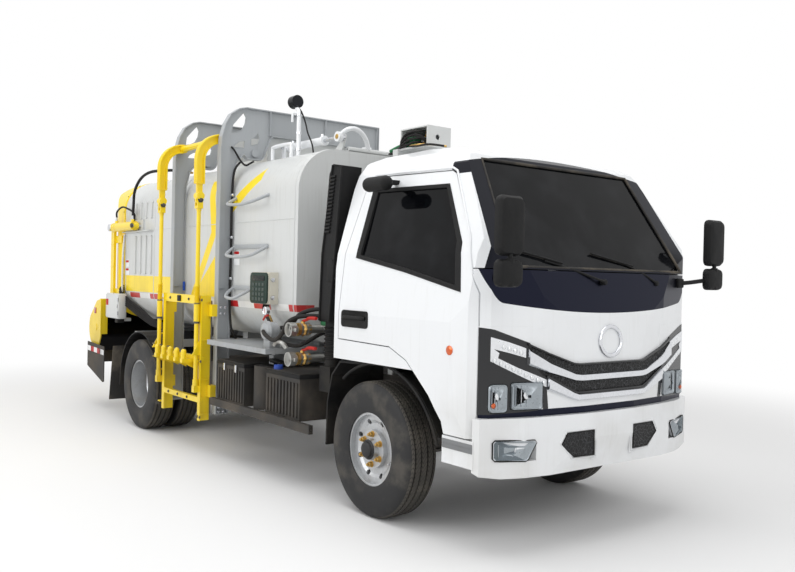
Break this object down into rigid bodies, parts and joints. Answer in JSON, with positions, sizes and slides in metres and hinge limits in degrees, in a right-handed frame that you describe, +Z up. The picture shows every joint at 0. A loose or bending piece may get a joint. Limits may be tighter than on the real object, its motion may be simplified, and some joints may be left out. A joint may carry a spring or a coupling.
{
  "type": "side-loading garbage truck",
  "caption": "Light cab-over truck with a round-cornered waste tank, a bin lifter on the right side between two curved rail plates, a top hatch and a rear door hinged at the top.",
  "frame": {"origin": "on the ground under the middle of the truck's length and width", "axes": "+X forward to the bumper, +Y to the left side, +Z up"},
  "size_m": [6.0897, 2.12, 2.708],
  "materials": {
    "paint_white": "gloss",
    "paint_grey": "satin",
    "paint_mid_grey": "satin",
    "paint_yellow": "gloss",
    "chassis_black": "satin",
    "plastic_black": "matte",
    "plastic_grey": "matte",
    "seat_fabric": "matte",
    "glass_dark": "gloss",
    "lamp_clear": "gloss",
    "rim_silver": "satin",
    "tyre": "matte",
    "steel_rod": "polished",
    "pipe_steel": "satin",
    "cast": "matte"
  },
  "bodies": {
    "truck": {"frame_rails": "chassis_black", "subframe": "paint_mid_grey", "front_axle": "cast", "rear_axle": "cast", "springs": "cast", "engine_block": "cast", "cab_shell": "paint_white", "front_panel": "plastic_black", "bumper": "paint_white", "headlights": "lamp_clear", "windscreen": "glass_dark", "cab_floor": "plastic_grey", "dashboard": "plastic_grey", "seats": "seat_fabric", "mirrors": "plastic_black", "arch_liners": "plastic_black", "air_intake": "plastic_black", "tank": "paint_grey", "platform": "paint_mid_grey", "side_boxes": "chassis_black", "discharge_pipes": "pipe_steel", "control_box": "plastic_grey", "tank_steps": "paint_mid_grey", "roof_box": "paint_grey", "rear_fenders": "plastic_black", "underrun": "chassis_black", "lift_frame_front": "paint_mid_grey", "lift_frame_rear": "paint_mid_grey", "hopper": "paint_grey", "work_lamp": "paint_white"},
    "wheel_front_right": {"rim_front_right": "rim_silver", "tyre_front_right": "tyre"},
    "wheel_front_left": {"rim_front_left": "rim_silver", "tyre_front_left": "tyre"},
    "wheels_rear_right": {"rims_rear_right": "rim_silver", "tyres_rear_right": "tyre"},
    "wheels_rear_left": {"rims_rear_left": "rim_silver", "tyres_rear_left": "tyre"},
    "knuckle_right": {"knuckle_right": "cast"},
    "knuckle_left": {"knuckle_left": "cast"},
    "steering_wheel": {"steering_wheel": "plastic_black"},
    "door_right": {"door_right": "paint_white", "glass_right": "glass_dark", "kerb_mirror": "plastic_black"},
    "door_left": {"door_left": "paint_white", "glass_left": "glass_dark"},
    "rear_door": {"rear_door": "paint_yellow", "drip_gutter": "paint_yellow"},
    "gate_barrel_right": {"gate_barrel_right": "paint_yellow"},
    "gate_barrel_left": {"gate_barrel_left": "paint_yellow"},
    "gate_rod_right": {"gate_rod_right": "steel_rod"},
    "gate_rod_left": {"gate_rod_left": "steel_rod"},
    "hatch_lid": {"hatch_lid": "paint_grey"},
    "hatch_barrel": {"hatch_barrel": "paint_white"},
    "hatch_rod": {"hatch_rod": "steel_rod"},
    "lifter_arms": {"lifter_arms": "paint_yellow"},
    "lifter_carriage": {"lifter_carriage": "paint_yellow", "lifter_rods": "paint_yellow"}
  },
  "joints": [
    {"name": "steer_right", "type": "hinge", "parent": "truck", "child": "knuckle_right", "pos_m": [1.91, -0.69, 0.3875], "axis": [0, 0, 1], "range_deg": [-35, 35]},
    {"name": "steer_left", "type": "hinge", "parent": "truck", "child": "knuckle_left", "pos_m": [1.91, 0.69, 0.3875], "axis": [0, 0, 1], "range_deg": [-35, 35]},
    {"name": "spin_front_right", "type": "hinge", "parent": "knuckle_right", "child": "wheel_front_right", "pos_m": [1.91, -0.7595, 0.3875], "axis": [0, 1, 0], "continuous": true},
    {"name": "spin_front_left", "type": "hinge", "parent": "knuckle_left", "child": "wheel_front_left", "pos_m": [1.91, 0.7595, 0.3875], "axis": [0, 1, 0], "continuous": true},
    {"name": "spin_rear_right", "type": "hinge", "parent": "truck", "child": "wheels_rear_right", "pos_m": [-1.398, -0.74, 0.3875], "axis": [0, 1, 0], "continuous": true},
    {"name": "spin_rear_left", "type": "hinge", "parent": "truck", "child": "wheels_rear_left", "pos_m": [-1.398, 0.74, 0.3875], "axis": [0, 1, 0], "continuous": true},
    {"name": "steering_wheel_turn", "type": "hinge", "parent": "truck", "child": "steering_wheel", "pos_m": [2.41, 0.5, 1.45], "axis": [-0.5736, 0, 0.8192], "range_deg": [-530, 530]},
    {"name": "door_right_open", "type": "hinge", "parent": "truck", "child": "door_right", "pos_m": [2.762, -0.874, 1.2], "axis": [0, 0, 1], "range_deg": [0, 68]},
    {"name": "door_left_open", "type": "hinge", "parent": "truck", "child": "door_left", "pos_m": [2.762, 0.874, 1.2], "axis": [0, 0, -1], "range_deg": [0, 68]},
    {"name": "rear_door_open", "type": "hinge", "parent": "truck", "child": "rear_door", "pos_m": [-2.372, 0, 2.266], "axis": [0, 1, 0], "range_deg": [0, 60]},
    {"name": "gate_barrel_right_tilt", "type": "hinge", "parent": "truck", "child": "gate_barrel_right", "pos_m": [-1.93, -0.807, 1.79], "axis": [0, 1, 0], "range_deg": [0, 25.03]},
    {"name": "gate_barrel_left_tilt", "type": "hinge", "parent": "truck", "child": "gate_barrel_left", "pos_m": [-1.93, 0.807, 1.79], "axis": [0, 1, 0], "range_deg": [0, 25.03]},
    {"name": "gate_rod_right_slide", "type": "slide", "parent": "gate_barrel_right", "child": "gate_rod_right", "axis": [-1, 0, 0], "range_m": [0, 0.3918]},
    {"name": "gate_rod_left_slide", "type": "slide", "parent": "gate_barrel_left", "child": "gate_rod_left", "axis": [-1, 0, 0], "range_m": [0, 0.3918]},
    {"name": "hatch_open", "type": "hinge", "parent": "truck", "child": "hatch_lid", "pos_m": [0.81, 0, 2.27], "axis": [0, 1, 0], "range_deg": [0, 65]},
    {"name": "hatch_barrel_tilt", "type": "hinge", "parent": "truck", "child": "hatch_barrel", "pos_m": [0.05, -0.343, 2.35], "axis": [0, 1, 0], "range_deg": [0, 2.45]},
    {"name": "hatch_rod_slide", "type": "slide", "parent": "hatch_barrel", "child": "hatch_rod", "axis": [1, 0, 0], "range_m": [0, 0.0865]},
    {"name": "lifter_raise", "type": "hinge", "parent": "truck", "child": "lifter_arms", "pos_m": [-0.535, -0.56, 2.3], "axis": [-1, 0, 0], "range_deg": [0, 85.7]},
    {"name": "lifter_carriage_slide", "type": "slide", "parent": "truck", "child": "lifter_carriage", "axis": [0, 0, 1], "range_m": [0, 0.772]}
  ],
  "couplings": [
    {"joint": "steer_left", "follows": "steer_right", "ratio": 1},
    {"joint": "steering_wheel_turn", "follows": "steer_right", "ratio": 15},
    {"joint": "gate_barrel_right_tilt", "follows": "rear_door_open", "ratio": 0.40881},
    {"joint": "gate_barrel_left_tilt", "follows": "rear_door_open", "ratio": 0.40881},
    {"joint": "gate_rod_right_slide", "follows": "rear_door_open", "m_per_rad": 0.3722},
    {"joint": "gate_rod_left_slide", "follows": "rear_door_open", "m_per_rad": 0.3722},
    {"joint": "hatch_barrel_tilt", "follows": "hatch_open", "ratio": 0.030008},
    {"joint": "hatch_rod_slide", "follows": "hatch_open", "m_per_rad": 0.074511},
    {"joint": "lifter_carriage_slide", "follows": "lifter_raise", "m_per_rad": 0.51476}
  ]
}
